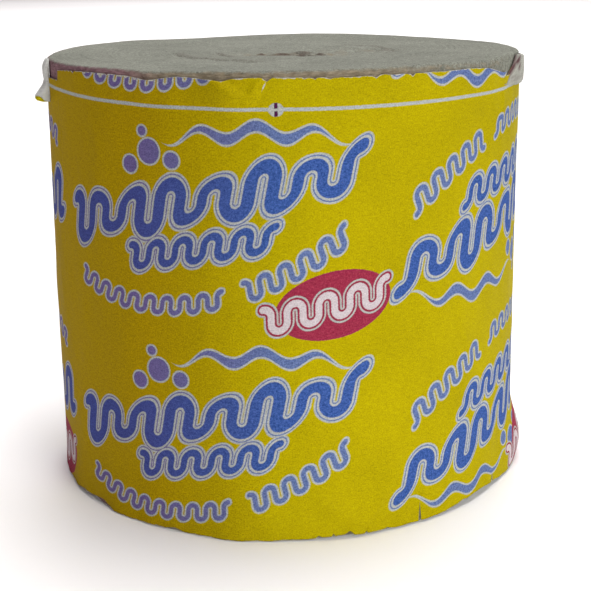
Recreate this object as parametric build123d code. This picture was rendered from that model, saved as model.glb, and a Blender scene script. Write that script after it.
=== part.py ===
from build123d import *
import math
import os

# A coreless roll of toilet paper, standing on one end, in a printed paper wrapper.
# The origin is the centre of the end that it stands on, +Z is up along the winding axis,
# and -Y is the front. Sizes are in millimetres and angles in degrees.

# --- The roll: one strip of thin paper, wound on itself with no core ---
roll_diameter = 99.7  # across the wound paper, inside the wrapper
roll_height = 90.0  # width of the paper strip
rim_rounding = 0.5  # the outermost turns are pressed in a little at both ends

# The middle was flattened when the winding pin was drawn out, which leaves a narrow bent slit
# in each end. It was wound a little off centre.
slit_ends = [(-5.5, -7.5), (5.0, -8.0)]
slit_bow = 1.2  # how far the middle of the slit stands off the line through its ends
slit_width = 0.7
slit_depth = 4.0

# Gaps between turns that have slipped, on the upper end. Each is an arc from its first point,
# by its middle point, to its last.
slipped_turns = [
    ((-22.0, -3.0), (-17.5, -19.0), (-6.0, -28.0)),
    ((21.5, -9.0), (22.8, -3.5), (22.0, 3.0)),
]
slipped_width = 0.45
slipped_depth = 0.9

# --- The wrapper: one sheet round the side, glued to itself in a lap at the back ---
sheet_thickness = 0.12
sheet_slack = 0.03  # between the roll and the sheet
bare_below = 0.5  # of the roll, under the sheet's lower edge
bare_above = 1.35  # of the roll, over the sheet's upper edge at the front and the back
side_droop = 0.3  # the upper edge is this much lower again at the left and the right
lap_width = 12.0  # of sheet glued over sheet
lap_ramp = 1.5  # length over which the sheet climbs onto its own end
lap_heading = 90.0  # from +X to the middle of the lap

# Damage is placed by its distance round the side from the front line, to the right.
# Nicks in the two edges: distance, width at the edge, depth.
upper_nicks = [(-3.0, 1.2, 1.4), (-10.5, 5.0, 0.7)]
lower_nicks = [(-24.0, 7.0, 0.6), (7.0, 1.6, 0.7), (13.5, 2.4, 1.0), (27.0, 0.5, 4.0), (51.0, 1.0, 2.4)]

# The torn place on the left: a piece of the upper edge has folded out and back on an upright
# crease, and its tip droops. Depths are from the roll's end down.
torn_from = -53.0
torn_to = -61.0  # the crease
torn_depth = 3.8  # to the floor of the gap
leaf_back = 3.4  # how far the folded piece runs back past its crease
leaf_collar = 1.2  # how far its upper part stands out from the sheet
leaf_waist = 1.0  # how far it stands out at the height of the gap's floor
leaf_reach = 3.0  # how far its drooping tip stands out
leaf_heel = 2.4  # how far its lowest edge stands out
leaf_bend = 0.6  # radius at the crease
leaf_tip_depth = 7.3  # to the point of the tip
leaf_heel_depth = 8.5  # to its lowest edge

# The corner on the right, folded outward over the roll's rim. Depths are from the roll's end down.
ear_from = 52.0
ear_to = 82.0
ear_slant = 5.0  # its front edge leans back by this much from the free edge to the fold
ear_foot_depth = 4.0  # to where the standing part begins
ear_fold_depth = 0.6  # to the top of the fold
ear_free_depth = 6.3  # to the free edge that hangs down
ear_fold_width = 1.3  # across the fold at the top
ear_fold_radius = 0.5
ear_free_reach = 0.5  # of the free edge, from the sheet

# --- Values that follow ---
roll_radius = roll_diameter / 2
sheet_inner = roll_radius + sheet_slack
sheet_middle = sheet_inner + sheet_thickness / 2
sheet_outer = sheet_inner + sheet_thickness
lap_outer = sheet_outer + sheet_thickness
sheet_top = roll_height - bare_above
torn_floor = roll_height - torn_depth
ear_foot = roll_height - ear_foot_depth
ear_free_edge = roll_height - ear_free_depth
clear = 5.0  # how far a cutting shape runs past what it cuts


def angle_of(distance):
    """Angle between the front line and a place that far round the sheet."""
    return math.degrees(distance / sheet_outer)


def facing(distance):
    """A frame whose +X points outward at that distance round the side, and +Y further round."""
    return Rotation(0, 0, angle_of(distance) - 90.0)


def polar(radius, angle):
    return (radius * math.cos(math.radians(angle)), radius * math.sin(math.radians(angle)))


def arc_round(radius, first, last):
    return CenterArc((0, 0), radius, first, last - first)


def ring_part(section, distance_from, distance_to):
    """A section in the XZ plane, turned about the roll's axis between two distances."""
    start = min(distance_from, distance_to)
    return facing(start) * revolve(section, Axis.Z, angle_of(abs(distance_to - distance_from)))


def build_roll():
    """The wound paper as one solid, with its flattened middle and the slipped turns."""
    body = Cylinder(roll_radius, roll_height, align=(Align.CENTER, Align.CENTER, Align.MIN))
    body = fillet(body.edges().filter_by(GeomType.CIRCLE), rim_rounding)
    slit_shape = trace(SagittaArc(*slit_ends, slit_bow), slit_width)
    body -= Pos(0, 0, roll_height - slit_depth) * extrude(slit_shape, slit_depth + clear)
    body -= extrude(slit_shape, slit_depth)
    for first, middle, last in slipped_turns:
        gap_shape = trace(ThreePointArc(first, middle, last), slipped_width)
        body -= Pos(0, 0, roll_height - slipped_depth) * extrude(gap_shape, slipped_depth + clear)
    return body


def band_section():
    """The sheet seen from above: one turn, a ramp onto its own end, and the glued lap."""
    half_lap = angle_of(lap_width / 2)
    free_edge = lap_heading - half_lap
    tucked_edge = lap_heading + half_lap
    ramp_end = tucked_edge + angle_of(lap_ramp)
    outside = [
        arc_round(lap_outer, free_edge, tucked_edge),
        Line(polar(lap_outer, tucked_edge), polar(sheet_outer, ramp_end)),
        arc_round(sheet_outer, ramp_end, free_edge + 360),
        Line(polar(sheet_outer, free_edge), polar(lap_outer, free_edge)),
    ]
    inside = [
        arc_round(sheet_inner, ramp_end, tucked_edge + 360),
        Line(polar(sheet_inner, tucked_edge), polar(sheet_outer, tucked_edge)),
        Line(polar(sheet_outer, tucked_edge), polar(sheet_inner, ramp_end)),
    ]
    return make_face(outside) - make_face(inside)


def upper_edge_at(across):
    """Height of the sheet's upper edge at a distance to either side of the roll's middle."""
    return sheet_top - side_droop * (across / sheet_outer) ** 2


def above_upper_edge():
    """The space over the sheet's upper edge, which is a shallow arc seen from the front."""
    side = lap_outer + clear
    low = upper_edge_at(side)
    high = roll_height + clear
    edge = ThreePointArc((-side, low), (0, sheet_top), (side, low))
    lid = Polyline((side, low), (side, high), (-side, high), (-side, low))
    return extrude(Plane.XZ * make_face([edge, lid]), side, both=True)


def nick(distance, width, depth, edge_height, into):
    """A V to cut from an edge: into is -1 from the upper edge down, +1 from the lower edge up."""
    mouth = edge_height - into * clear
    spread = width / 2 * (1 + clear / depth)
    tip = edge_height + into * depth
    shape = make_face(Polyline((-spread, mouth), (spread, mouth), (0, tip), close=True))
    return facing(distance) * Pos(sheet_middle, 0, 0) * extrude(Plane.YZ * shape, clear, both=True)


def window(distance_from, distance_to, floor):
    """The stretch of the sheet above a floor height, to be taken out."""
    tall = roll_height + clear - floor
    section = Plane.XZ * Pos(sheet_middle, floor + tall / 2) * Rectangle(2 * clear, tall)
    return ring_part(section, distance_from, distance_to)


def folded_leaf():
    """The torn piece on the left: bent out along its crease and back, with a drooping tip."""
    bend = FilletPolyline(
        (sheet_middle, 0),
        (sheet_middle + leaf_collar, 0),
        (sheet_middle + leaf_reach + sheet_thickness, -leaf_back),
        radius=leaf_bend,
    )
    leaf = extrude(trace(bend, sheet_thickness), roll_height)
    heel_height = roll_height - leaf_heel_depth
    seen_from_front = Polyline(
        (sheet_inner, heel_height),
        (sheet_inner, sheet_top),
        (sheet_outer + leaf_collar, sheet_top - leaf_collar),
        (sheet_outer + leaf_waist, torn_floor),
        (sheet_outer + leaf_reach, roll_height - leaf_tip_depth),
        (sheet_outer + leaf_heel, heel_height),
        close=True,
    )
    outline = extrude(Plane.XZ * make_face(seen_from_front), leaf_back + clear, both=True)
    return facing(torn_to) * (leaf & outline)


def turned_corner():
    """The corner on the right: up to the roll's end, folded outward and hanging down."""
    fold_top = roll_height - ear_fold_depth - sheet_thickness / 2
    path = FilletPolyline(
        (sheet_middle, ear_foot),
        (sheet_middle, fold_top),
        (sheet_middle + ear_fold_width, fold_top),
        (sheet_middle + ear_free_reach, ear_free_edge),
        radius=ear_fold_radius,
    )
    ear = ring_part(Plane.XZ * trace(path, sheet_thickness), ear_from, ear_to)
    ahead_of_slant = Polyline(
        (-clear, ear_free_edge - clear),
        (0, ear_free_edge - clear),
        (0, ear_free_edge),
        (ear_slant, roll_height - ear_fold_depth),
        (ear_slant, roll_height + clear),
        (-clear, roll_height + clear),
        close=True,
    )
    offcut = extrude(Plane.YZ * make_face(ahead_of_slant), clear, both=True)
    return ear - facing(ear_from) * Pos(sheet_middle, 0, 0) * offcut


def build_wrapper():
    """The sheet as one solid, with its lap, nicks, torn piece and folded corner."""
    band = Pos(0, 0, bare_below) * extrude(band_section(), roll_height)
    band -= above_upper_edge()
    band -= window(torn_from, torn_to, torn_floor)
    band -= window(ear_from + ear_slant, ear_to, ear_foot)
    for distance, width, depth in upper_nicks:
        across = sheet_outer * math.sin(math.radians(angle_of(distance)))
        band -= nick(distance, width, depth, upper_edge_at(across), -1)
    for distance, width, depth in lower_nicks:
        band -= nick(distance, width, depth, bare_below, 1)
    return band + folded_leaf() + turned_corner()


pieces = {"paper_roll": build_roll(), "wrapper_band": build_wrapper()}

os.makedirs("parts", exist_ok=True)
for name, piece in pieces.items():
    export_step(piece, f"parts/{name}.step")
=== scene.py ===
import math

import bpy
import numpy as np
from mathutils import Matrix, Vector


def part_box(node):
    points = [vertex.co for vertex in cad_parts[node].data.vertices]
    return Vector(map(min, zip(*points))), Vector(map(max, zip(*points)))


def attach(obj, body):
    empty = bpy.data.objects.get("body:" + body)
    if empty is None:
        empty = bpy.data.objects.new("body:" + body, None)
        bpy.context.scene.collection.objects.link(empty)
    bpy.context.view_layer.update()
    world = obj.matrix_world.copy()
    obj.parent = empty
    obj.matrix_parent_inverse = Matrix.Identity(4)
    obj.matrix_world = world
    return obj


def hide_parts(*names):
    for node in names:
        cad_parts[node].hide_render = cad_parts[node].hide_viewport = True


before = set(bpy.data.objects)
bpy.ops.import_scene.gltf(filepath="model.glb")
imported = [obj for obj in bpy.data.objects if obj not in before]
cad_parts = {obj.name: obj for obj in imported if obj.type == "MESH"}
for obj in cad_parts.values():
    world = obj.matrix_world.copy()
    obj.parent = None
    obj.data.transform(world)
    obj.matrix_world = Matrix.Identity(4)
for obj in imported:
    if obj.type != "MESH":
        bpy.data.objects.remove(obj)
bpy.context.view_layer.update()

# A coreless roll of recycled toilet paper in a printed paper wrapper, in the CAD model's frame:
# metres, +Z up the winding axis, -Y to the front. Places on the wrapper are given as they are on
# its flat sheet: the distance round the side from the front line, to the right, and the height.
MM = 0.001

roll_low, roll_high = (Vector(corner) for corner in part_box("paper_roll"))
ROLL_RADIUS = (roll_high.x - roll_low.x) / 2
ROLL_HEIGHT = roll_high.z

# --- the wrapper's flat sheet ---
SHEET_THICKNESS = 0.12 * MM
SHEET_RADIUS = ROLL_RADIUS + 0.09 * MM  # of the middle of its thickness
LAP = 12 * MM
HALF_SHEET = math.pi * SHEET_RADIUS + LAP / 2
BARE_ABOVE = 1.28 * MM
BARE_BELOW = 0.18 * MM
SIDE_DROOP = 0.3 * MM
# The torn gap on the left. A piece is folded back on an upright crease at its far end.
TORN_FROM = -54.2 * MM
TORN_TO = -61 * MM
TORN_FLOOR = ROLL_HEIGHT - 3.5 * MM
# The turned-down corner on the right.
EAR_FROM = 51.6 * MM
EAR_TO = 82 * MM
EAR_SLANT = 8.4 * MM  # how far its front edge leans back from the free edge to the fold
EAR_CUT = EAR_FROM + 1.2 * MM  # where the band stops short of its full height
EAR_FOOT = ROLL_HEIGHT - 4 * MM
EAR_FOLD_TOP = ROLL_HEIGHT - 0.45 * MM
EAR_FREE_EDGE = ROLL_HEIGHT - 6.2 * MM
EAR_FOLD = 0.90 * MM  # across the fold, at the roll's rim
PLAIN_PLACE = (17 * MM, 28 * MM)  # where the flat sheet has no print
# Swells of the upper edge (distance, spread, height) and nicks in both edges: distance, width,
# depth, and whether each is a sharp V (1) or a soft dip (2).
UPPER_SWELLS = [(-40, 9, 0.35), (-25.3, 3, -0.45), (-19, 4.5, 0.45), (13, 6, -0.15), (52, 5, -1.6)]
UPPER_NICKS = [
    (-2.6, 2.0, 0.7, 1), (-10.5, 5.0, 0.25, 2), (4.0, 0.9, 0.2, 1), (5.8, 0.7, 0.25, 1), (8.6, 1.4, 0.25, 1),
    (17.0, 1.6, 0.4, 1), (24.5, 1.0, 0.45, 1), (-35, 1.0, 0.3, 1), (-46, 1.4, 0.35, 1),
]
LOWER_NICKS = [
    (-23.5, 5.0, 0.6, 2), (-44, 9.0, 0.9, 2), (5.5, 1.2, 0.5, 1), (8.4, 0.8, 0.7, 1), (11.6, 2.2, 0.8, 2),
    (15.0, 0.8, 0.5, 1), (19.5, 1.4, 0.3, 1), (27, 0.6, 4.3, 1), (51, 1.0, 2.0, 1), (39, 3.0, 0.3, 2),
]
# How the roll is out of true: dips of its upper rim (distance, spread, depth) and lifts of its foot.
RIM_DIPS = [(-137, 18, 0.45), (112, 26, 0.65), (-74, 10, 0.35), (76, 12, 0.4), (46, 8, 0.35), (-25, 4, 0.2)]
FOOT_LIFTS = [(45, 11, 1.3), (-50, 6, 1.0), (12, 12, 0.2)]


# ---------- small tools ----------

def smooth_step(low, high, x):
    t = np.clip((x - low) / (high - low), 0, 1)
    return t * t * (3 - 2 * t)


def waves(x, y, seed, count, shortest, longest, stretch=1.0):
    """A smooth, repeatable unevenness between about -1 and 1, from crossed sine waves, whose
    lengths are in millimetres."""
    rng = np.random.default_rng(seed)
    total = np.zeros(np.broadcast(x, y).shape)
    for _ in range(count):
        length = rng.uniform(shortest * MM, longest * MM)
        heading = rng.uniform(0, math.tau)
        phase = rng.uniform(0, math.tau)
        along = x * math.cos(heading) + y * math.sin(heading) / stretch
        total += np.sin(math.tau * along / length + phase)
    return total / math.sqrt(count)


def bump(x, spread):
    """1 where x is 0, falling to nearly 0 at twice the spread, which is in millimetres."""
    return np.exp(-((x / (spread * MM)) ** 2))


def bump_at(x, y, middle_x, middle_y, spread_x, spread_y):
    """The same about a middle, all four in millimetres."""
    off_x = (x - middle_x * MM) / (spread_x * MM)
    off_y = (y - middle_y * MM) / (spread_y * MM)
    return np.exp(-(off_x ** 2) - off_y ** 2)


def ripples(along, seed, count, shortest, longest):
    """The same unevenness along one line."""
    return waves(along, 0 * along, seed, count, shortest, longest)


def beside_line(x, y, start, end):
    """How far along the line from start to end the nearest place is, 0 to 1, and its distance."""
    ax, ay = start
    bx, by = end
    length2 = (bx - ax) ** 2 + (by - ay) ** 2
    along = np.clip(((x - ax) * (bx - ax) + (y - ay) * (by - ay)) / length2, 0, 1)
    return along, np.hypot(x - ax - along * (bx - ax), y - ay - along * (by - ay))


def distance_to_path(x, y, points):
    nearest = np.full(np.shape(x), np.inf)
    for start, end in zip(points, points[1:]):
        nearest = np.minimum(nearest, beside_line(x, y, start, end)[1])
    return nearest


def crease(x, y, start, end, width):
    """1 along the line from start to end, falling to 0 within the width and at both ends."""
    along, gap = beside_line(x, y, start, end)
    return np.clip(1 - gap / width, 0, 1) * np.sin(math.pi * along)


def fold(x, y, start, end, left_run, right_run):
    """As crease, but with its own run on each side, left and right as seen going to the end."""
    ax, ay = start
    bx, by = end
    length = math.hypot(bx - ax, by - ay)
    along = ((x - ax) * (bx - ax) + (y - ay) * (by - ay)) / length ** 2
    beside = ((y - ay) * (bx - ax) - (x - ax) * (by - ay)) / length
    height = np.clip(1 - np.maximum(beside / left_run, -beside / right_run), 0, 1)
    return height * np.sin(math.pi * np.clip(along, 0, 1))


def dimmed(colour, share):
    return tuple(part * share for part in colour)


def mark_points(piece, marks):
    """Give each vertex the numbers that the shaders read, by name."""
    for name, values in marks.items():
        layer = piece.data.attributes.new(name, "FLOAT", "POINT")
        layer.data.foreach_set("value", np.array(values, np.float32))


def new_object(name, vertices, faces, slots, materials, smooth):
    mesh = bpy.data.meshes.new(name)
    mesh.from_pydata(vertices, [], faces)
    for material in materials:
        mesh.materials.append(material)
    mesh.polygons.foreach_set("material_index", slots)
    mesh.polygons.foreach_set("use_smooth", smooth)
    mesh.update()
    piece = bpy.data.objects.new(name, mesh)
    bpy.context.scene.collection.objects.link(piece)
    return piece


# ---------- shader fields ----------

def set_inputs(node, **values):
    """Each input by its name, with _ for a space."""
    for name, value in values.items():
        node.inputs[name.replace("_", " ")].default_value = value


class Field:
    """A number that the shader works out at each point, with plain arithmetic."""

    def __init__(self, tree, socket):
        self.tree = tree
        self.socket = socket

    def math(self, operation, *others):
        node = self.tree.nodes.new("ShaderNodeMath")
        node.operation = operation
        self.tree.links.new(self.socket, node.inputs[0])
        for slot, other in enumerate(others, start=1):
            if isinstance(other, Field):
                self.tree.links.new(other.socket, node.inputs[slot])
            else:
                node.inputs[slot].default_value = other
        return Field(self.tree, node.outputs[0])

    def __add__(self, other):
        return self.math("ADD", other)

    def __sub__(self, other):
        return self.math("SUBTRACT", other)

    def __mul__(self, other):
        return self.math("MULTIPLY", other)

    def __truediv__(self, other):
        return self.math("DIVIDE", other)

    def __neg__(self):
        return self * -1.0

    def rounded_down(self):
        return self.math("FLOOR")

    def size(self):
        return self.math("ABSOLUTE")

    def root(self):
        return self.math("SQRT")

    def above(self, other):
        return self.math("GREATER_THAN", other)

    def at_least(self, other):
        return self.math("MAXIMUM", other)

    def at_most(self, other):
        return self.math("MINIMUM", other)

    def wrapped(self, low, high):
        return self.math("WRAP", high, low)

    def near(self, middle, full, gone):
        """1 as far as full from the middle, falling to 0 at gone."""
        return (self - middle).size().ramp(full, gone, 1.0, 0.0)

    def ramp(self, low, high, to_low=0.0, to_high=1.0):
        node = self.tree.nodes.new("ShaderNodeMapRange")
        self.tree.links.new(self.socket, node.inputs["Value"])
        set_inputs(node, From_Min=low, From_Max=high, To_Min=to_low, To_Max=to_high)
        return Field(self.tree, node.outputs["Result"])


def hypotenuse(a, b):
    return (a * a + b * b).root()


class Surface:
    """A material under construction: a Principled shader and the fields that feed it."""

    def __init__(self, name, roughness=0.7, specular=0.3):
        self.material = bpy.data.materials.new(name)
        self.material.use_nodes = True
        self.tree = self.material.node_tree
        self.shader = self.tree.nodes["Principled BSDF"]
        set_inputs(self.shader, Roughness=roughness, Specular_IOR_Level=specular)

    def new(self, kind):
        return self.tree.nodes.new("ShaderNode" + kind)

    def link(self, source, target):
        self.tree.links.new(source, target)

    def sheet_place(self):
        """Distance and height on the flat sheet, in millimetres."""
        node = self.new("UVMap")
        node.uv_map = "sheet"
        parts = self.new("SeparateXYZ")
        self.link(node.outputs["UV"], parts.inputs[0])
        return (Field(self.tree, part) * (1 / MM) for part in parts.outputs[:2])

    def attribute(self, name):
        node = self.new("Attribute")
        node.attribute_name = name
        return Field(self.tree, node.outputs["Fac"])

    def point(self, x, y, z=None):
        node = self.new("CombineXYZ")
        for slot, part in enumerate((x, y, z)):
            if part is not None:
                self.link(part.socket, node.inputs[slot])
        return node.outputs[0]

    def object_point(self):
        return self.new("TexCoord").outputs["Object"]

    def noise(self, place, scale, detail=2.0, roughness=0.5, distortion=0.0):
        node = self.new("TexNoise")
        self.link(place, node.inputs["Vector"])
        set_inputs(node, Scale=scale, Detail=detail, Roughness=roughness, Distortion=distortion)
        return Field(self.tree, node.outputs[0])

    def specks(self, place, scale):
        """Distance to the nearest of many scattered points, in cells."""
        node = self.new("TexVoronoi")
        self.link(place, node.inputs["Vector"])
        set_inputs(node, Scale=scale)
        return Field(self.tree, node.outputs["Distance"])

    def stretched(self, place, scale, turn=0.0):
        node = self.new("Mapping")
        self.link(place, node.inputs["Vector"])
        set_inputs(node, Scale=scale, Rotation=(0, 0, turn))
        return node.outputs[0]

    def mixed(self, share, low, high):
        """low where the share is 0, high where it is 1; each a colour or a colour socket."""
        node = self.new("Mix")
        node.data_type = "RGBA"
        self.link(share.socket, node.inputs[0])
        for slot, colour in ((6, low), (7, high)):
            if isinstance(colour, tuple):
                node.inputs[slot].default_value = (*colour, 1)
            else:
                self.link(colour, node.inputs[slot])
        return node.outputs[2]

    def shaded(self, colour, share, strength):
        """The colour made darker or lighter by a share that is 0.5 where nothing changes."""
        node = self.new("Mix")
        node.data_type = "RGBA"
        node.blend_type = "SOFT_LIGHT"
        node.inputs[0].default_value = strength
        self.link(colour, node.inputs[6])
        self.link(self.point(share, share, share), node.inputs[7])
        return node.outputs[2]

    def colour(self, socket):
        self.link(socket, self.shader.inputs["Base Color"])

    def roughness(self, field):
        self.link(field.socket, self.shader.inputs["Roughness"])

    def bumps(self, *layers):
        """Each layer is a height field and its height in metres."""
        normal = None
        for field, height in layers:
            node = self.new("Bump")
            set_inputs(node, Strength=1.0, Distance=height)
            self.link(field.socket, node.inputs["Height"])
            if normal is not None:
                self.link(normal, node.inputs["Normal"])
            normal = node.outputs[0]
        self.link(normal, self.shader.inputs["Normal"])


# ---------- materials ----------

# The wrapper's inks. Each warm one is painted shade for the left, where the print is in shade and looks
# redder and darker.
YELLOW = (0.365, 0.300, 0.0006)
YELLOW_IN_SHADE = (0.322, 0.214, 0.0006)
# Painted shade: a near black, mixed in a little to darken the print just left of the front as shade would.
PAINTED_SHADE = (0.02, 0.02, 0.0)  # a little of it darkens the print just left of the front
WHITE_PAPER = (0.340, 0.358, 0.342)
DEEP_BLUE = (0.021, 0.056, 0.205)
DEEP_BLUE_WORN = (0.055, 0.112, 0.345)
DEEP_BLUE_IN_SHADE = (0.048, 0.050, 0.215)
SOFT_BLUE = (0.068, 0.105, 0.240)
SOFT_BLUE_WORN = (0.125, 0.170, 0.340)
SOFT_BLUE_IN_SHADE = (0.125, 0.080, 0.225)
CRIMSON = (0.225, 0.018, 0.044)
CRIMSON_WORN = tuple(c * 1.15 + 0.01 for c in CRIMSON)
PALE_INK = (0.47, 0.42, 0.44)
MAROON = (0.055, 0.010, 0.045)
# Bare paper, and painted shade for its creases, its gaps and the roll's side.
TORN_FIBRE = (0.42, 0.41, 0.36)
SHEET_BACK = (0.315, 0.320, 0.280)
LEAF_BACK = (0.54, 0.55, 0.52)
CREASE_SHADE = (0.085, 0.040, 0.042)
RECYCLED = (0.200, 0.206, 0.172)
# Brown for the patches of the collapsed middle, and, with the next, painted shade for the side of the
# outermost turns.
BROWN_PATCH_AND_SIDE_SHADE = (0.195, 0.162, 0.112)
PURPLE_SIDE_SHADE = (0.190, 0.108, 0.120)
GAP_SHADE = (0.070, 0.042, 0.036)

# The print, in millimetres on the flat sheet. Its repeat holds an upright column and a column that
# is turned by half a turn about the pivot.
CELL_WIDE = 139.0
CELL_HIGH = 42.0
CELL_LEFT = -51.0
CELL_FOOT = 43.4
CELL_PIVOT = (18.25, 62.3)
LEAN = 0.22  # of the waves, to the right
BUBBLES = ((-30.0, 72.7, 1.6), (-25.6, 75.3, 2.3), (-20.8, 73.9, 1.5), (-27.0, 79.0, 0.9))
OVALS = ((9.0, 47.0), (-66.5, 6.0))
OVAL_LONG = 11.2  # half its length
OVAL_HIGH = 6.4  # half its height
OVAL_TILT = (0.978, 0.208)  # cosine and sine
RULE_LEVEL = 83.2
RULE_MIDDLE = 12.0  # where the rule, which is a shallow bow, is lowest
RULE_BOW = 0.00035
RULE_HALF_WIDTH = 0.31
MARK_AT = -1.1  # the rule's registration mark: a disc with two ticks in it
MARK_RADIUS = 1.21
TICK_HALF_WIDTH = 0.31
TICK_MIDDLE = 0.73  # of each tick, over and under the rule's level
TICK_HALF_LENGTH = 0.5


def squiggle(x, y, radius, rise, bends):
    """Distance to the middle of a squiggle that starts at x = 0: half circles of the radius, joined
    by straight stretches that reach the rise to either side, with round ends."""
    step = ((x + radius) / (2 * radius)).rounded_down()
    local = x - step * (2 * radius)
    turned = (step / 2).rounded_down() * 2
    upside = (step - turned) * -2.0 + 1.0
    wrong_side = upside * y
    across = local.size() - (-wrong_side).above(0.0) * (2 * radius)
    up = (y.size() - rise).at_least(0.0)
    beside = (hypotenuse(across, up) - radius).size()

    length = 2 * radius * bends
    beyond = (-x).at_least(x - length)
    last_side = 1.0 if bends % 2 == 0 else -1.0
    side = x.above(length / 2) * (last_side - 1.0) + 1.0
    tip = y - side * (rise + radius)
    past_end = hypotenuse(beyond, tip).at_most(hypotenuse(beyond + radius, up))
    outside = beyond.above(0.0)
    return beside + (past_end - beside) * outside


def tapered(x, start, end, run, half_width):
    """Half the width of a stroke that runs from start to end and comes to a point at both."""
    inside = (x - start).at_most(-(x - end)) / run
    return inside.at_most(1.0).at_least(-1.5) * half_width


def on_slope(x, y, start, level, slope, upright):
    """Place along and across a line that climbs by the slope from its level at x = 0, for waves that
    lean. Upright is the cosine of the slope's angle."""
    across = (y - x * slope - level) * upright
    return x - start - across * LEAN, across


def ribbon_strokes(x, y):
    """Distance from the edges of one cell's two outlined ribbons."""
    along, across = on_slope(x, y, start=-48.0, level=69.6, slope=0.19, upright=0.98)
    swell = (along * 0.31 + 0.6).math("SINE")
    half_width = swell * 0.14 + 1.12
    broad = squiggle(along, across, 2.2, swell * 0.75 + 1.15, bends=14) - half_width
    along, across = on_slope(x, y, start=-31.0, level=60.4, slope=0.17, upright=0.985)
    narrow = squiggle(along, across, 1.45, 0.6, bends=10) - 0.70
    return broad.at_most(narrow)


def line_strokes(x, y):
    """Distance from the edges of one cell's plain shapes: two wavy lines in a row on a curve that
    sags, a long tapering ripple, and bubbles."""
    sag = 0.0095
    from_lowest = x + 27.0
    over_curve = y - from_lowest * from_lowest * sag - 46.2
    slope = from_lowest * (2 * sag)
    stretch = (slope * slope + 1.0).root()
    across = over_curve / stretch
    along = x + over_curve * slope / (stretch * stretch) - across * LEAN
    long_line = squiggle(along + 46.0, across, 0.95, 0.5, bends=18)
    short_line = squiggle(along + 7.5, across, 0.95, 0.8, bends=10)
    strokes = long_line.at_most(short_line) - 0.47

    from_top = x + 4.7
    ripple = (from_top * 0.6).math("COSINE")
    over_ripple = y - ripple * 1.15 - 79.3 + from_top * from_top * 0.006
    half_width = tapered(x, start=-19.0, end=9.6, run=8.0, half_width=0.80)
    strokes = strokes.at_most(over_ripple.size() * 0.86 - half_width)
    for centre_x, centre_y, radius in BUBBLES:
        strokes = strokes.at_most(hypotenuse(x - centre_x, y - centre_y) - radius)
    return strokes


def in_cell(x, y):
    """The same place of the print in its first upright column; every other column is turned."""
    column = ((x - CELL_LEFT) / (CELL_WIDE / 2)).rounded_down()
    turned = column - (column / 2).rounded_down() * 2
    flip = turned * -2.0 + 1.0
    pivot_x, pivot_y = CELL_PIVOT
    cell_x = (x * flip + turned * (2 * pivot_x)).wrapped(CELL_LEFT, CELL_LEFT + CELL_WIDE)
    cell_y = (y * flip + turned * (2 * pivot_y)).wrapped(CELL_FOOT, CELL_FOOT + CELL_HIGH)
    return cell_x, cell_y


def within(field, reach):
    """1 where the distance is less than the reach and 0 beyond it, with a soft edge."""
    soft = 0.07
    return (field - reach).ramp(-soft, soft, 1.0, 0.0)


def with_blue_shapes(surface, colour, x, y, worn, left):
    """A ribbon is a deep core, a white line, a pale line and a white outline."""
    cell_x, cell_y = in_cell(x, y)
    ribbons = ribbon_strokes(cell_x, cell_y)
    lines = line_strokes(cell_x, cell_y)
    deep = surface.mixed(worn, DEEP_BLUE, DEEP_BLUE_WORN)
    # On the left, painted shade: the inks are mixed towards their warm, darker copies.
    deep = surface.mixed(left * 0.7, deep, DEEP_BLUE_IN_SHADE)
    pale = surface.mixed(worn, SOFT_BLUE, SOFT_BLUE_WORN)
    pale = surface.mixed(left * 0.8, pale, SOFT_BLUE_IN_SHADE)
    outline = within(ribbons, 0.98).at_least(within(lines, 0.34))
    colour = surface.mixed(outline, colour, WHITE_PAPER)
    for reach, ink in ((0.66, pale), (0.42, WHITE_PAPER), (0.0, deep)):
        colour = surface.mixed(within(ribbons, reach), colour, ink)
    return surface.mixed(within(lines, 0.0), colour, pale)


def with_ovals(surface, colour, x, y, worn):
    """Crimson ovals with a plain pale ribbon over each."""
    crimson = surface.mixed(worn, CRIMSON, CRIMSON_WORN)
    cosine, sine = OVAL_TILT
    for centre_x, centre_y in OVALS:
        oval_x = (x - centre_x).wrapped(-CELL_WIDE / 2, CELL_WIDE / 2)
        oval_y = y - centre_y
        along = oval_x * cosine + oval_y * sine
        beside = oval_y * cosine - oval_x * sine
        oval = (hypotenuse(along / OVAL_LONG, beside / OVAL_HIGH) - 1.0) * 7.5
        colour = surface.mixed(within(oval, 0.0), colour, crimson)
        ribbon = squiggle(along + 13.5 - beside * 0.2, beside, 1.5, 0.75, bends=8) - 0.66
        for reach, ink in ((0.72, WHITE_PAPER), (0.38, CRIMSON), (0.0, PALE_INK)):
            colour = surface.mixed(within(ribbon, reach), colour, ink)
    return colour


def with_rule(surface, colour, across, x, y):
    """The white rule near the upper edge, and its registration mark."""
    from_middle = across - RULE_MIDDLE
    over_rule = y - RULE_LEVEL - from_middle * from_middle * RULE_BOW
    mark_x = x - MARK_AT
    mark_y = y - RULE_LEVEL
    disc = hypotenuse(mark_x * 0.88, mark_y) - MARK_RADIUS
    white = (over_rule.size() - RULE_HALF_WIDTH).at_most(disc)
    colour = surface.mixed(within(white, 0.0), colour, WHITE_PAPER)
    tick_end = (mark_y.size() - TICK_MIDDLE).size() - TICK_HALF_LENGTH
    tick = (mark_x.size() - TICK_HALF_WIDTH).at_least(tick_end)
    return surface.mixed(within(tick, 0.0), colour, MAROON)


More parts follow.
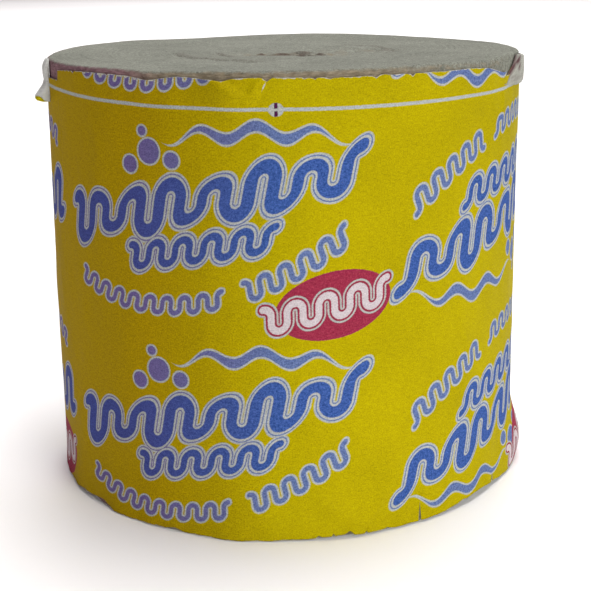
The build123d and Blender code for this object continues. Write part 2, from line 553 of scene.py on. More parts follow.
def with_damage(surface, colour, place, across, up):
    """A short tear that runs down from the nick near the front, and ink rubbed off both cut edges,
    most of all a little to the left."""
    from_tear = across + 3.3 - (up - 87.0) * 0.45
    raggedness = (surface.noise(place, 1.7, 2.0) - 0.5).size() * 0.5
    half_width = tapered(up, start=86.5, end=88.2, run=0.8, half_width=0.17)
    tear = from_tear.size() - half_width + raggedness
    colour = surface.mixed(within(tear, 0.0), colour, TORN_FIBRE)
    ragged = surface.noise(place, 1.1, 3.0, 0.6)
    worn_most = (across + 35.0).size().ramp(7.0, 13.0, 2.4, 0.8)
    kept = surface.noise(place, 0.45, 2.0).ramp(0.42, 0.56) * 0.13
    bare = (ragged - 0.45).at_least(0.0) * worn_most
    rubbed = (surface.attribute("from_edge") + kept - bare).ramp(0.0, 0.12, 1.0, 0.0)
    return surface.mixed(rubbed, colour, TORN_FIBRE)


def wrapper_print():
    surface = Surface("wrapper_print", specular=0.03)
    across, up = surface.sheet_place()
    place = surface.point(across, up)
    feathering = 0.22
    x = across + (surface.noise(place, 3.2, 2.0) - 0.5) * feathering
    y = up + (surface.noise(place, 2.7, 2.0) - 0.5) * feathering
    grain = surface.noise(place, 3.6, 3.0, 0.65)
    cloud = surface.noise(place, 0.06, 3.0, 0.55)
    mottle = surface.noise(surface.stretched(place, (1.0, 1.8, 1.0), 0.7), 0.9, 4.0, 0.65)
    worn = surface.noise(place, 2.0, 4.0, 0.65).ramp(0.36, 0.68)
    # Painted shade: the print on the left side is mixed towards warm, darker copies of its inks, as that side
    # is in shade.
    left = across.near(-70.0, 42.0, 68.0)

    colour = surface.mixed(cloud.ramp(0.35, 0.65), YELLOW, dimmed(YELLOW, 0.88))
    colour = surface.mixed(left, colour, YELLOW_IN_SHADE)
    colour = with_blue_shapes(surface, colour, x, y, worn, left)
    colour = with_ovals(surface, colour, x, y, worn)
    colour = with_rule(surface, colour, across, x, y)
    colour = with_damage(surface, colour, place, across, up)

    # Painted shade just left of the front, uneven ink, and a few dark flecks.
    colour = surface.mixed(across.near(-24.0, 8.0, 27.0) * 0.17, colour, PAINTED_SHADE)
    colour = surface.shaded(colour, grain.ramp(0.3, 0.7), 0.45)
    colour = surface.shaded(colour, mottle.ramp(0.25, 0.75), 0.2)
    flecks = surface.specks(place, 0.9).ramp(0.05, 0.10, 1.0, 0.0)
    rare = surface.noise(place, 0.35, 0.0).ramp(0.56, 0.62)
    colour = surface.mixed(flecks * rare * 0.35, colour, dimmed(YELLOW, 0.45))
    # Painted shade in the creases and crevice of the turned-down corner.
    surface.colour(surface.mixed(surface.attribute("painted_crease_shade"), colour, CREASE_SHADE))
    surface.roughness(grain.ramp(0.2, 0.8, 0.6, 0.8))
    fibres = surface.noise(surface.stretched(place, (1.0, 3.0, 1.0), 0.4), 2.4, 3.0, 0.6)
    surface.bumps((cloud, 0.5 * MM), (mottle, 0.03 * MM), (grain, 0.03 * MM), (fibres, 0.03 * MM))
    return surface.material


def bare_sheet(name, colour, speckle):
    """The unprinted side of the sheet, and its torn edges."""
    surface = Surface(name, roughness=0.85, specular=0.2)
    across, up = surface.sheet_place()
    place = surface.point(across, up)
    fibres = surface.noise(surface.stretched(place, (1.0, 2.6, 1.0), 0.9), 1.6, 4.0, 0.65)
    cloud = surface.noise(place, 0.3, 3.0)
    base = surface.mixed(cloud.ramp(0.35, 0.7), colour, dimmed(colour, 0.86))
    base = surface.shaded(base, fibres.ramp(0.3, 0.7), speckle)
    # Painted shade in the creases and crevice of the turned-down corner.
    surface.colour(surface.mixed(surface.attribute("painted_crease_shade"), base, CREASE_SHADE))
    surface.bumps((fibres, 0.06 * MM), (surface.noise(place, 7.0, 2.0), 0.03 * MM))
    return surface.material


def recycled_paper():
    surface = Surface("recycled_paper", roughness=0.95, specular=0.08)
    place = surface.stretched(surface.object_point(), (1 / MM, 1 / MM, 1 / MM))
    turn = surface.attribute("turn")
    fibres = surface.noise(surface.stretched(place, (1.0, 2.2, 1.0), 0.5), 0.9, 5.0, 0.7, 0.6)
    cross_fibres = surface.noise(surface.stretched(place, (2.2, 1.0, 1.0), -0.4), 1.1, 5.0, 0.7, 0.6)
    cloud = surface.noise(place, 0.07, 3.0, 0.6)
    rings = surface.noise(surface.point(turn, turn * 0.0), 1.6, 2.0, 0.6)
    base = surface.mixed(cloud.ramp(0.35, 0.65), RECYCLED, dimmed(RECYCLED, 0.84))
    base = surface.shaded(base, fibres.ramp(0.25, 0.75), 0.5)
    base = surface.shaded(base, surface.noise(place, 3.0, 3.0, 0.7).ramp(0.3, 0.7), 0.5)
    base = surface.shaded(base, rings.ramp(0.2, 0.8), 0.25)
    specks = surface.specks(place, 0.55).ramp(0.06, 0.14, 1.0, 0.0)
    rare = surface.noise(place, 0.5, 0.0).ramp(0.52, 0.6)
    base = surface.mixed(specks * rare * 0.45, base, dimmed(RECYCLED, 0.4))

    # The collapsed middle is browner in patches. The outermost turns get painted shade: brown, purple-brown
    # on the left and least on the lit right.
    patches = surface.noise(place, 0.42, 3.0, 0.6).ramp(0.46, 0.66)
    base = surface.mixed(surface.attribute("brown_patches") * patches * 0.8, base, BROWN_PATCH_AND_SIDE_SHADE)
    wound_fibres = surface.noise(surface.stretched(place, (1.0, 1.0, 3.5)), 0.7, 4.0, 0.65)
    brown = surface.mixed(surface.attribute("side_purple_shade"), BROWN_PATCH_AND_SIDE_SHADE, PURPLE_SIDE_SHADE)
    brown = surface.shaded(brown, wound_fibres.ramp(0.25, 0.75), 0.7)
    ragged = surface.noise(surface.stretched(place, (1.0, 1.0, 2.5)), 0.8, 3.0, 0.6)
    outside = (surface.attribute("outside") + ragged - 0.5).ramp(0.3, 0.7)
    base = surface.mixed(outside, base, brown)
    # Painted shade in the slit, the openings, the grooves of slipped turns and on the lips beside them.
    gap = surface.attribute("gap") * surface.noise(place, 0.7, 2.0).ramp(0.36, 0.55, 0.45, 1.0)
    base = surface.mixed(gap, base, GAP_SHADE)
    surface.colour(base)
    surface.bumps((rings, 0.10 * MM), (fibres, 0.11 * MM), (cross_fibres, 0.08 * MM))
    return surface.material


# ---------- the roll ----------

SLIT_ENDS = ((-7.0 * MM, -12.4 * MM), (0.0 * MM, -13.0 * MM), (9.5 * MM, -13.6 * MM))
# Gaps between turns that have slipped: the width of each and the points along it.
SLIPPED_TURNS = [
    (0.42, ((-22.0, -7.0), (-20.6, -14.5), (-16.6, -22.4), (-10.6, -28.8), (-2.0, -32.2))),
    (0.40, ((-13.6, -8.6), (-12.4, -15.0), (-9.0, -21.0))),
    (0.45, ((10.0, 1.0), (15.0, 3.0), (20.0, 1.5), (22.8, -4.0), (23.2, -14.0))),
]
# Where the flattened middle gapes: place, half length and half width.
OPENINGS = [
    (-4.3, -14.4, 1.4, 0.50), (0.3, -12.6, 3.0, 0.50), (4.2, -10.6, 2.0, 0.45),
    (7.6, -17.6, 1.3, 0.50), (5.0, -20.5, 1.6, 0.50),
]
RIM_ROUNDING = 0.5 * MM


def past(distance, middle):
    """How far one place round the side is from another, the short way round."""
    girth = math.tau * SHEET_RADIUS
    return np.mod(distance - middle * MM + girth / 2, girth) - girth / 2


def swells(distance, places):
    """The sum of soft swells, each given as its distance, spread and height."""
    total = 0
    for middle, spread, height in places:
        total = total + height * MM * bump(past(distance, middle), spread)
    return total


def out_of_round(distance, height):
    """How far the roll stands outside its nominal radius: squeezed out at the foot on the right,
    and drawn in towards the upper left."""
    foot = bump_at(past(distance, 73), height, 0, 4.5, 13, 6)
    front = bump_at(past(distance, -10), height, 0, 0, 7, 7)
    upper = np.clip((height - 38 * MM) / (50 * MM), 0, 1) * bump(past(distance, -76), 34)
    return 2.4 * MM * foot + 0.6 * MM * front - 0.85 * MM * upper


def settled(distance, height):
    """The height of a place on the side, once the rim's dips and the foot's lifts are in it."""
    at_rim = smooth_step(ROLL_HEIGHT - 12 * MM, ROLL_HEIGHT, height)
    at_foot = 1 - smooth_step(0, 14 * MM, height)
    return height - swells(distance, RIM_DIPS) * at_rim + swells(distance, FOOT_LIFTS) * at_foot


def turn_count(x, y):
    """How far a point of the end is from the flattened middle, across the turns."""
    radius = np.hypot(x, y)
    blend = smooth_step(0.0, 0.8 * ROLL_RADIUS, radius)
    return (1 - blend) * distance_to_path(x, y, SLIT_ENDS) + blend * radius


def end_relief(x, y, upper):
    """Height of the wound end over its flat plane, how much painted shade each point gets in and beside the
    gaps, its place across the turns in millimetres, and how brown it is in patches."""
    heading = np.arctan2(y, x)
    turn = turn_count(x, y)
    seed = 11 if upper else 47
    relief = 0.16 * MM * waves(x, y, seed, 6, 22, 45)
    relief += 0.05 * MM * waves(x, y, seed + 1, 8, 5, 11)
    rng = np.random.default_rng(seed + 2)
    for pitch in rng.uniform(1.3, 6.0, 9) * MM:
        strength = 0.5 + 0.5 * np.sin(heading * rng.integers(1, 4) + rng.uniform(0, math.tau))
        relief += 0.022 * MM * strength * np.sin(math.tau * turn / pitch + heading + rng.uniform(0, math.tau))
    slit = distance_to_path(x, y, SLIT_ENDS)
    gap = 0.6 * np.clip(1.1 - slit / (0.6 * MM), 0, 1)
    lips = 0 * x
    bent_x = x + 0.5 * MM * waves(x, y, seed + 3, 5, 3, 8)
    bent_y = y + 0.45 * MM * waves(x, y, seed + 4, 5, 3, 9)
    for middle_x, middle_y, half_length, half_width in OPENINGS:
        gape = np.hypot((bent_x / MM - middle_x) / half_length, (bent_y / MM - middle_y) / half_width)
        gap = np.maximum(gap, np.clip(1.5 - 1.2 * gape, 0, 1))
        lip_y = middle_y + half_width + 0.3
        lips = np.maximum(lips, bump_at(bent_x, bent_y, middle_x, lip_y, half_length, 0.8))
    relief -= 1.3 * MM * gap
    relief += 0.48 * MM * lips
    gap = np.maximum(gap, 0.75 * lips)
    relief -= 0.35 * MM * bump(slit, 4)
    relief -= 0.45 * MM * bump_at(x, y, 16, -7.5, 6.5, 2.6)
    brown_patches = bump(slit, 3.6) + 0.6 * bump_at(x, y, 16, -8, 7, 3)
    if upper:
        for width, points in SLIPPED_TURNS:
            points = [(px * MM, py * MM) for px, py in points]
            line = distance_to_path(x, y, points)
            to_first, to_last = (np.hypot(x - px, y - py) for px, py in (points[0], points[-1]))
            ends = np.minimum(to_first, to_last)
            groove = np.clip(1 - line / (width * MM), 0, 1) * smooth_step(0, 3 * MM, ends)
            relief -= 0.40 * MM * groove
            inner = distance_to_path(x, y, [(px * 0.955, py * 0.955) for px, py in points])
            step = bump(inner, 1) * smooth_step(0, 5 * MM, ends)
            relief += 0.20 * MM * step
            gap = np.maximum(gap, 0.5 * groove)
            gap = np.maximum(gap, 0.30 * step)
    return relief, gap, turn / MM, brown_patches


AROUND = 420  # vertices in each ring of the roll
HEADING = np.linspace(0, math.tau, AROUND, endpoint=False)[None, :]
DISTANCE = (HEADING + math.pi / 2) * SHEET_RADIUS  # the same places, as distances round the side


def outer_turns():
    """How much purple-brown and how much brown painted shade the outermost turns get round the side: most on
    the left, least to the right.
    """
    from_front = past(DISTANCE, 0)
    stained = smooth_step(-20 * MM, -34 * MM, from_front)
    stained = stained * (1 - smooth_step(-75 * MM, -100 * MM, from_front))
    brown_shade = 0.80 + 0.20 * stained + 0.10 * ripples(DISTANCE, 73, 6, 8, 30)
    return stained, brown_shade - 0.55 * smooth_step(8 * MM, 40 * MM, from_front)


def end_rings(radii, upper):
    """Rings from an end's middle out and round its rim: x, y, z and the marks for the shader."""
    corner = np.linspace(0, math.pi / 2, 5)
    nominal = np.append(radii, ROLL_RADIUS - RIM_ROUNDING * (1 - np.sin(corner)))[:, None]
    drop = np.append(0 * radii, RIM_ROUNDING * (1 - np.cos(corner)))[:, None]
    rim = nominal / ROLL_RADIUS
    r = nominal + out_of_round(DISTANCE, ROLL_HEIGHT if upper else 0.0) * rim ** 2
    unevenness = 0.03 * MM * ripples(DISTANCE, 71, 9, 1.5, 7)
    r = r + unevenness * smooth_step(0.97, 1.0, rim)
    x, y = r * np.cos(HEADING), r * np.sin(HEADING)
    relief, gap, turn, brown_patches = end_relief(x, y, upper)
    relief = relief * (1 - smooth_step(ROLL_RADIUS - 3 * MM, ROLL_RADIUS, nominal) * 0.7)
    near_rim = smooth_step(0.60, 1.0, rim) ** 2
    if upper:
        z = ROLL_HEIGHT - drop + relief - swells(DISTANCE, RIM_DIPS) * near_rim
    else:
        z = drop - np.minimum(relief, 0) + swells(DISTANCE, FOOT_LIFTS) * near_rim
    stained, brown_shade = outer_turns()
    # Painted shade: the rim's rounding gets browner as it turns down to the side, and so does the outermost
    # ring of the end.
    outside = np.append(0 * radii, np.linspace(0.1, 0.8, len(corner)))[:, None]
    outside = np.maximum(outside, 0.45 * smooth_step(0.975, 1.0, rim)) * brown_shade
    return [np.broadcast_to(part, x.shape) for part in (x, y, z, gap, turn, brown_patches, outside, stained)]


def side_rings():
    """Rings down the side, close together only where the side shows."""
    depths = np.concatenate([np.arange(0.3, 8, 0.5), np.linspace(11, 79, 8), np.arange(82, 89.6, 0.5)]) * MM
    levels = (ROLL_HEIGHT - RIM_ROUNDING - depths)[:, None]
    levels = levels[levels[:, 0] > RIM_ROUNDING]
    # The roll is drawn in under the sheet, but not where it shows: at both ends and in two places.
    hidden = smooth_step(2.5 * MM, 4.5 * MM, ROLL_HEIGHT - levels) * smooth_step(3 * MM, 6 * MM, levels)
    for middle, half_width in ((-57.5, 5.5), (56.0, 6.5)):  # the torn gap and the turned corner
        beside = smooth_step(half_width * MM, (half_width + 2) * MM, np.abs(past(DISTANCE, middle)))
        hidden = hidden * np.maximum(beside, smooth_step(6 * MM, 9 * MM, ROLL_HEIGHT - levels))
    unevenness = 0.02 * MM * waves(DISTANCE, levels, 5, 10, 1.2, 6)
    radius = ROLL_RADIUS - 0.35 * MM * hidden + unevenness * (1 - hidden)
    radius = radius + out_of_round(DISTANCE, levels)
    zero = 0 * radius
    # Painted shade all down the side: brown, and purple-brown on the left.
    stained, brown_shade = outer_turns()
    place = [radius * np.cos(HEADING), radius * np.sin(HEADING), settled(DISTANCE, levels + zero)]
    return place + [zero, ROLL_RADIUS / MM + zero, zero, brown_shade + zero, stained + zero]


def build_roll():
    radii = np.arange(0.5 * MM, ROLL_RADIUS - RIM_ROUNDING - 0.2 * MM, 0.46 * MM)
    parts = zip(end_rings(radii, True), side_rings(), end_rings(radii[::2], False))
    x, y, z, *marks = [np.concatenate([top, side, bottom[::-1]]) for top, side, bottom in parts]
    vertices = np.stack([x, y, z], -1).reshape(-1, 3).tolist()
    last_ring = len(vertices) - AROUND
    top_middle, bottom_middle = len(vertices), len(vertices) + 1
    vertices.append((0, 0, float(z[0].mean())))
    vertices.append((0, 0, float(z[-1].mean())))
    after = [(j + 1) % AROUND for j in range(AROUND)]
    faces = []
    for ring in range(0, last_ring, AROUND):
        for j, k in enumerate(after):
            faces.append((ring + j, ring + AROUND + j, ring + AROUND + k, ring + k))
    for j, k in enumerate(after):
        faces.append((top_middle, j, k))
        faces.append((bottom_middle, last_ring + k, last_ring + j))
    count = len(faces)
    piece = new_object("wound_paper", vertices, faces, [0] * count, [recycled_paper()], [True] * count)
    names = ("gap", "turn", "brown_patches", "outside", "side_purple_shade")
    mark_points(piece, {name: np.append(part.ravel(), [0, 0]) for name, part in zip(names, marks)})
    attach(piece, "root")
    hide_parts("paper_roll")
    return piece


# ---------- the wrapper ----------

def nicked(distance, nicks):
    """How far the nicks reach in from an edge at each distance."""
    reach = np.zeros(distance.shape)
    for middle, width, depth, softness in nicks:
        t = np.clip(1 - np.abs(distance - middle * MM) / (width * MM / 2), 0, 1)
        reach = np.maximum(reach, depth * MM * (t if softness == 1 else smooth_step(0, 1, t)))
    return reach


def upper_edge(distance):
    turn = distance / SHEET_RADIUS
    edge = ROLL_HEIGHT - BARE_ABOVE - SIDE_DROOP * np.sin(turn) ** 2 + swells(distance, UPPER_SWELLS)
    edge = edge + 0.05 * MM * ripples(distance, 21, 12, 0.9, 5)
    edge = edge + 0.10 * MM * ripples(distance, 22, 6, 8, 25)
    edge = edge - nicked(distance, UPPER_NICKS)
    edge = np.where((distance < TORN_FROM) & (distance > TORN_TO), TORN_FLOOR, edge)
    return np.where((distance > EAR_CUT) & (distance < EAR_TO), EAR_FOOT, edge)


def lower_edge(distance):
    edge = BARE_BELOW + 0.05 * MM * ripples(distance, 31, 12, 0.9, 5)
    edge = edge + 0.12 * MM * np.abs(ripples(distance, 32, 6, 9, 30))
    return edge + nicked(distance, LOWER_NICKS)


# Folds of the sheet: how far each stands off, its start and end, and its run to either side.
FOLDS = [
    (1.5, (-14.5, 89.5), (-5.0, 84.0), 1.7, 5.0),
    (0.55, (-3.4, 89.8), (-6.6, 83.0), 1.6, 1.4),
    (1.0, (4.0, 9.8), (14.4, 2.0), 1.8, 3.4),
    (0.75, (12.0, -0.6), (21.0, 10.4), 2.6, 1.5),
]
CREASED_STRETCHES = [(-16, -2), (3.5, 21.5)]  # where those folds are, and the grid is finer
# Smaller creases: how far each stands off, its start and end, and its width.
CREASES = [
    (0.25, (29.0, 0.0), (27.6, 9.0), 1.4),
    (0.30, (51.6, 83.5), (50.8, 75.0), 1.4),
    (0.30, (-61.0, 81.0), (-55.0, 84.0), 1.6),
    (0.18, (-20.0, 52.0), (-24.0, 38.0), 1.0),
    (0.16, (36.0, 42.0), (42.0, 30.0), 1.0),
]


def relief(distance, height):
    """How far the sheet stands off the roll, in soft waves, dents and creases."""
    near_top = smooth_step(ROLL_HEIGHT - 9 * MM, ROLL_HEIGHT - 2 * MM, height)
    near_foot = 1 - smooth_step(1 * MM, 9 * MM, height)
    off = 0.12 * MM * (1 + waves(distance, height, 3, 10, 9, 26, 4.0))
    off = off + 0.05 * MM * waves(distance, height, 4, 12, 3, 9, 2.0)
    off = off + 0.10 * MM * (near_top + near_foot) * (1 + waves(distance, height, 6, 8, 5, 15, 3.0))
    for size, start, end, left_run, right_run in FOLDS:
        off = off + size * MM * fold(distance / MM, height / MM, start, end, left_run, right_run)
    for size, start, end, width in CREASES:
        off = off + size * MM * crease(distance / MM, height / MM, start, end, width)
    away = 1 - smooth_step(HALF_SHEET - LAP - 12 * MM, HALF_SHEET - LAP - 3 * MM, np.abs(distance))
    return np.maximum(off, 0.03 * MM) * away


def on_roll(distance, height, off):
    """A point of the wrapped sheet, from its place on the flat sheet."""
    lap_ramp = 1.5 * MM
    over_lap = 1 - smooth_step(-HALF_SHEET + LAP, -HALF_SHEET + LAP + lap_ramp, distance)
    radius = SHEET_RADIUS + off + out_of_round(distance, height) + over_lap * SHEET_THICKNESS * 1.1
    turn = distance / SHEET_RADIUS
    level = settled(distance, height) + 0 * radius
    return np.stack([radius * np.sin(turn), -radius * np.cos(turn), level], -1)


# The sheet's material slots.
PRINTED, UNDERSIDE, TORN_EDGE, LEAF_UNDERSIDE = range(4)


class SheetMesh:
    """Patches of the sheet, each a grid with an outer face, an inner face and closed edges."""

    def __init__(self):
        self.vertices, self.faces, self.slots = [], [], []
        self.flat, self.from_edge, self.painted_crease_shade = [], [], []

    def add(self, middle, flat, from_edge, painted_crease_shade=None, underside=UNDERSIDE):
        rows, columns = middle.shape[:2]
        along = np.gradient(middle, axis=1)
        up = np.gradient(middle, axis=0)
        normal = np.cross(along, up)
        normal /= np.maximum(np.linalg.norm(normal, axis=-1, keepdims=True), 1e-12)
        start = len(self.vertices)
        for side in (0.5, -0.5):
            shifted = middle + normal * SHEET_THICKNESS * side
            self.vertices.extend(shifted.reshape(-1, 3).tolist())
            self.flat.extend(flat.reshape(-1, 2).tolist())
            self.from_edge.extend(from_edge.ravel().tolist())
            self.painted_crease_shade.extend([0.0] * from_edge.size if painted_crease_shade is None else painted_crease_shade.ravel().tolist())
        count = rows * columns
        grid = np.arange(count).reshape(rows, columns) + start
        a, b = grid[:-1, :-1].ravel(), grid[:-1, 1:].ravel()
        c, d = grid[1:, 1:].ravel(), grid[1:, :-1].ravel()
        # Both faces are split along the same diagonals, so that they stay a thickness apart.
        triangles = np.concatenate([np.stack([a, b, c], -1), np.stack([a, c, d], -1)])
        self.add_faces(triangles, PRINTED)
        self.add_faces(triangles[:, ::-1] + count, underside)
        border = np.concatenate([grid[0, :-1], grid[:-1, -1], grid[-1, :0:-1], grid[:0:-1, 0]])
        following = np.roll(border, -1)
        self.add_faces(np.stack([following, border, border + count, following + count], -1), TORN_EDGE)

    def add_faces(self, faces, slot):
        self.faces.extend(faces.tolist())
        self.slots.extend([slot] * len(faces))

    def build(self, name, materials):
        smooth = [slot != TORN_EDGE for slot in self.slots]
        piece = new_object(name, self.vertices, self.faces, self.slots, materials, smooth)
        layer = piece.data.uv_layers.new(name="sheet")
        corners = np.array([index for face in self.faces for index in face])
        layer.data.foreach_set("uv", np.array(self.flat, np.float32)[corners].ravel())
        mark_points(piece, {"from_edge": np.array(self.from_edge) / MM, "painted_crease_shade": self.painted_crease_shade})
        return piece


def band_columns():
    """Distances of the grid's columns, with the nicks' corners and doubled at the tears."""
    pitch = 0.72
    columns = list(np.arange(-HALF_SHEET, HALF_SHEET, pitch * MM)) + [HALF_SHEET]
    for start, end in CREASED_STRETCHES:
        columns += list(np.arange(start, end, pitch / 2) * MM)
    for middle, width, _, _ in UPPER_NICKS + LOWER_NICKS:
        columns += [middle * MM + width * MM / 2 * step for step in (-1, 0, 1)]
    sliver = 0.02 * MM
    for edge in (TORN_FROM, TORN_TO, EAR_CUT, EAR_TO):
        columns += [edge - sliver, edge + sliver]
    columns = np.sort(np.array(columns))
    keep = np.append(True, np.diff(columns) > sliver)
    return columns[keep]


def build_wrapper():
    sheet = SheetMesh()
    columns = band_columns()[None, :]
    close = np.array([0.0, 0.25, 0.55, 0.95, 1.5, 2.2, 3.0, 4.0, 5.1, 6.3]) * MM
    bottom, top = lower_edge(columns), upper_edge(columns)
    low, high = bottom + close[-1], top - close[-1]
    share = np.linspace(0, 1, 48)[1:-1, None]
    height = np.concatenate([bottom + close[:, None], low + (high - low) * share, top - close[::-1, None]])
    distance = columns + 0 * height
    from_edge = np.minimum((height - bottom) * 2 + 0.2 * MM, top - height)
    middle = on_roll(distance, height, relief(distance, height))
    sheet.add(middle, np.stack([distance, height], -1), from_edge)
    add_ear(sheet)
    add_leaf(sheet)
    materials = [  # in the order of the slots
        wrapper_print(),
        bare_sheet("wrapper_underside", SHEET_BACK, 0.5),
        bare_sheet("torn_fibres", dimmed(TORN_FIBRE, 0.75), 0.5),
        bare_sheet("leaf_underside", LEAF_BACK, 0.3),
    ]
    piece = sheet.build("wrapper_sheet", materials)
    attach(piece, "root")
    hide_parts("wrapper_band")
    return piece


# Creases of the turned-down corner, on its outer side: start, end, width and depth of shade.
EAR_CREASES = [
    ((51.6, 83.8), (60.4, 89.4), 0.75, 1.3),
    ((57.6, 87.6), (62.4, 89.4), 0.8, 1.4),
    ((58.8, 86.4), (62.2, 87.8), 0.8, 1.1),
    ((55.0, 84.5), (63.0, 85.4), 0.6, 0.35),
    ((60.0, 84.4), (66.0, 86.4), 0.6, 0.25),
    ((54.6, 85.2), (58.6, 85.6), 0.5, 0.35),
]


def add_ear(sheet):
    """The corner on the right: it stands to the roll's end, folds outward and hangs down."""
    bend = np.linspace(0, math.pi, 9)
    hang = np.linspace(0, 1, 19)[1:]
    stand = np.linspace(0, 1, 9)[:-1]
    # The fold lies closer to the roll than the sheet below it does.
    settle = np.concatenate([1 - 0.7 * stand, np.full(len(bend), 0.3), 0.3 + 0.7 * hang])
    points, flats, painted_crease_shade = [], [], []
    for distance in np.linspace(EAR_FROM, EAR_TO, 88):
        back = np.clip((distance - EAR_FROM) / EAR_SLANT, 0, 1)
        wave = ripples(distance, 77, 6, 4, 12)
        free_edge = EAR_FREE_EDGE + 0.15 * MM * wave + 0.5 * MM * (1 - back)
        past_front = max(distance - EAR_FROM - EAR_SLANT, 0)
        free_edge += (EAR_FOLD_TOP - 0.8 * MM - free_edge) * smooth_step(EAR_TO - 9 * MM, EAR_TO, distance)
        crown = free_edge + 0.3 * MM + (EAR_FOLD_TOP - free_edge - 0.3 * MM) * back
        crown = crown - 0.05 * past_front + 0.12 * MM * wave * back
        across = EAR_FOLD * (0.10 + 0.90 * smooth_step(0.25, 1, back))
        root = crown - 0.4 * across
        foot = min(EAR_FOOT, root) - 0.6 * MM
        off = [0.0] * len(stand)
        height = [foot + (root - foot) * t for t in stand]
        off += [across / 2 * (1 - math.cos(angle)) for angle in bend]
        height += [root + 0.4 * across * math.sin(angle) for angle in bend]
        for t in hang:
            swell = 0.10 * MM * math.sin(math.pi * t) * back
            dent = 0.30 * MM * bump(distance - 66 * MM, 1.6) * math.sin(math.pi * t) ** 2
            off.append(across * (1 - 0.22 * t) + swell - dent)
            height.append(root + (free_edge - root) * t)
        off, height = np.array(off), np.array(height)
        here = distance + 0 * height
        hanging = np.arange(len(off)) >= len(stand) + len(bend) // 2
        # Painted shade: a dark seam along the crown of the fold, the standing part in the crevice under it,
        # and the creases of the hanging part.
        seam = bump(height - crown - 0.2 * MM, 0.55)
        folds = 0.9 * seam * (1 - smooth_step(EAR_SLANT * 0.8, EAR_SLANT * 1.1, distance - EAR_FROM))
        in_crevice = smooth_step(crown - 2.6 * MM, crown - 0.6 * MM, height) * (1 - hanging)
        folds = np.maximum(folds, 0.85 * in_crevice)
        for start, end, width, strength in EAR_CREASES:
            line = crease(here / MM, height / MM, start, end, width)
            folds = np.maximum(folds, strength * line * hanging)
            off = off - 0.30 * MM * min(strength, 1) * line * hanging * min(back * 2, 1)
        painted_crease_shade.append(folds)
        lengths = np.hypot(np.diff(off), np.diff(height))
        flat_height = height[0] + np.append(0, np.cumsum(lengths))
        points.append(on_roll(here, height, off + settle * relief(here, foot + 0 * height)))
        flats.append(np.stack([here, flat_height], -1))
    flat = np.stack(flats, 1)
    from_edge = np.minimum(flat[-1:, :, 1] - flat[..., 1], flat[..., 0] - EAR_FROM)
    sheet.add(np.stack(points, 1), flat, from_edge, np.stack(painted_crease_shade, 1))


# How far the torn leaf stands out from the sheet, up its height: depth below the roll's end, reach.
LEAF_REACH = [
    (8.5, 1.3), (8.2, 2.5), (7.7, 2.95), (7.1, 2.85), (6.4, 2.2), (5.4, 1.3), (4.3, 0.85), (3.0, 1.1),
    (1.6, 1.15), (0.9, 0.95), (0.35, 0.65), (-0.2, 0.2),
]
# Its turned-up lowest edge: height over its foot, and how far forward.
LEAF_TURN_UP = [(1.25, 0.30), (0.8, 0.42), (0.35, 0.36), (0.05, 0.16)]


def add_leaf(sheet):
    """The torn piece on the left: folded out and back along its crease, with a drooping tip whose
    lowest edge turns up and shows its printed side."""
    depths, reaches = np.array(LEAF_REACH).T * MM
    foot = ROLL_HEIGHT - depths[0]
    rows = [(foot + up * MM, forward * MM) for up, forward in LEAF_TURN_UP]
    rows += [(ROLL_HEIGHT - depth, 0.0) for depth in np.linspace(depths[0], depths[-1], 26)]
    points, flats = [], []
    for height, forward in rows:
        reach = np.interp(ROLL_HEIGHT - height, depths[::-1], reaches[::-1])
        low = 1 - smooth_step(0, 1.6 * MM, height - foot)
        ragged = ripples(height, 91, 7, 0.8, 5)
        narrowed = 1 - 0.35 * smooth_step(foot + 5.5 * MM, ROLL_HEIGHT, height)
        runs_back = (8.0 + 0.5 * ragged) * MM * narrowed
        row_points, row_flats = [], []
        for t in np.linspace(0, 1, 22):
            off = 0.10 * MM + reach * math.sin(0.5 * math.pi * min(t / 0.5, 1.0))
            turned_up = 0.08 + 0.92 * smooth_step(0.10, 0.30, t)
            back = forward * turned_up - 0.1 * MM - runs_back * max(t - 0.2, 0) ** 1.3
            off -= 0.45 * reach * max(t - 0.5, 0)
            rise = 0.3 * MM * low * max(1 - t / 0.5, 0)
            level = foot + (height - foot) * (turned_up if forward else 1.0) + rise
            row_points.append(on_roll(TORN_TO + back, level, off))
            row_flats.append((PLAIN_PLACE[0] + t * 3 * MM, PLAIN_PLACE[1] + height - foot))
        points.append(row_points)
        flats.append(row_flats)
    points, flats = np.array(points), np.array(flats)
    sheet.add(points, flats, np.full(points.shape[:2], 2 * MM), underside=LEAF_UNDERSIDE)


# ---------- the stage ----------

# The camera's place in metres, its angles in radians and its lens in millimetres.
CAMERA_DISTANCE = 0.27476
CAMERA_HEIGHT = 0.11095
CAMERA_DOWN = 0.268
CAMERA_TURN = 0.008
CAMERA_TILT = -0.017
CAMERA_LENS = 77.47
WHITE_LIGHT = (1.0, 1.0, 1.0)
KEY_LIGHT = (1.0, 1.0, 0.97)
SKY = (1.0, 0.84, 0.91, 1)
SKY_STRENGTH = 0.20


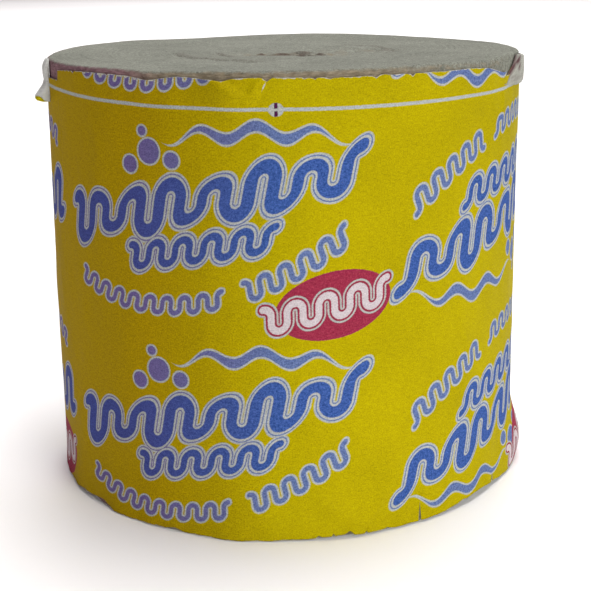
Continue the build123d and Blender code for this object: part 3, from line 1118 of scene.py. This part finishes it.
def build_camera():
    camera = bpy.data.cameras.new("camera")
    camera.sensor_width = 36
    camera.lens = CAMERA_LENS
    camera.clip_start = 0.01
    holder = bpy.data.objects.new("camera", camera)
    forward = Vector((
        math.sin(CAMERA_TURN) * math.cos(CAMERA_DOWN),
        math.cos(CAMERA_TURN) * math.cos(CAMERA_DOWN),
        -math.sin(CAMERA_DOWN),
    ))
    level = Vector((math.cos(CAMERA_TURN), -math.sin(CAMERA_TURN), 0))
    upright = level.cross(forward)
    right = level * math.cos(CAMERA_TILT) + upright * math.sin(CAMERA_TILT)
    up = upright * math.cos(CAMERA_TILT) - level * math.sin(CAMERA_TILT)
    turn = Matrix((right, up, -forward)).transposed().to_4x4()
    holder.matrix_world = Matrix.Translation((0, -CAMERA_DISTANCE, CAMERA_HEIGHT)) @ turn
    bpy.context.scene.collection.objects.link(holder)
    bpy.context.scene.camera = holder


def area_light(name, place, target, size, watts, colour):
    light = bpy.data.lights.new(name, "AREA")
    light.shape = "DISK"
    light.size = size
    light.energy = watts
    light.color = colour
    holder = bpy.data.objects.new(name, light)
    holder.location = place
    holder.rotation_euler = (Vector(target) - Vector(place)).to_track_quat("-Z", "Y").to_euler()
    bpy.context.scene.collection.objects.link(holder)
    return holder


def build_light():
    bpy.context.scene.view_settings.view_transform = "Standard"
    world = bpy.data.worlds.new("studio")
    bpy.context.scene.world = world
    world.use_nodes = True
    set_inputs(world.node_tree.nodes["Background"], Color=SKY, Strength=SKY_STRENGTH)
    middle = (0, 0, ROLL_HEIGHT / 2)
    area_light("key", (1.12, -1.72, 0.85), middle, 1.2, 32.0, KEY_LIGHT)
    area_light("top", (0.3, 0.4, 2.0), middle, 1.6, 44.0, WHITE_LIGHT)
    # A weak, narrow light on the lowest part of the front.
    foot = area_light("foot", (0.06, -0.65, 0.10), (0.0, 0.0, -0.16), 0.25, 0.12, WHITE_LIGHT)
    foot.data.spread = math.radians(36)
    foot.visible_camera = False
    # The floor behind the roll is lit to white on its own.
    area_light("far_floor", (0.0, 2.0, 1.6), (0.0, 1.9, 0.0), 1.2, 24.0, WHITE_LIGHT)


def build_floor():
    size = 3.0
    corners = [(-size, -size, 0), (size, -size, 0), (size, size, 0), (-size, size, 0)]
    surface = Surface("pale_floor", roughness=0.9, specular=0.1)
    place = surface.object_point()
    cloud = surface.noise(place, 6.0, 3.0)
    surface.colour(surface.mixed(cloud, (0.90, 0.89, 0.88), (0.93, 0.92, 0.91)))
    floor = new_object("floor", corners, [(0, 1, 2, 3)], [0], [surface.material], [False])
    floor.location.z = -0.05 * MM


build_camera()
build_light()
build_floor()
build_roll()
build_wrapper()
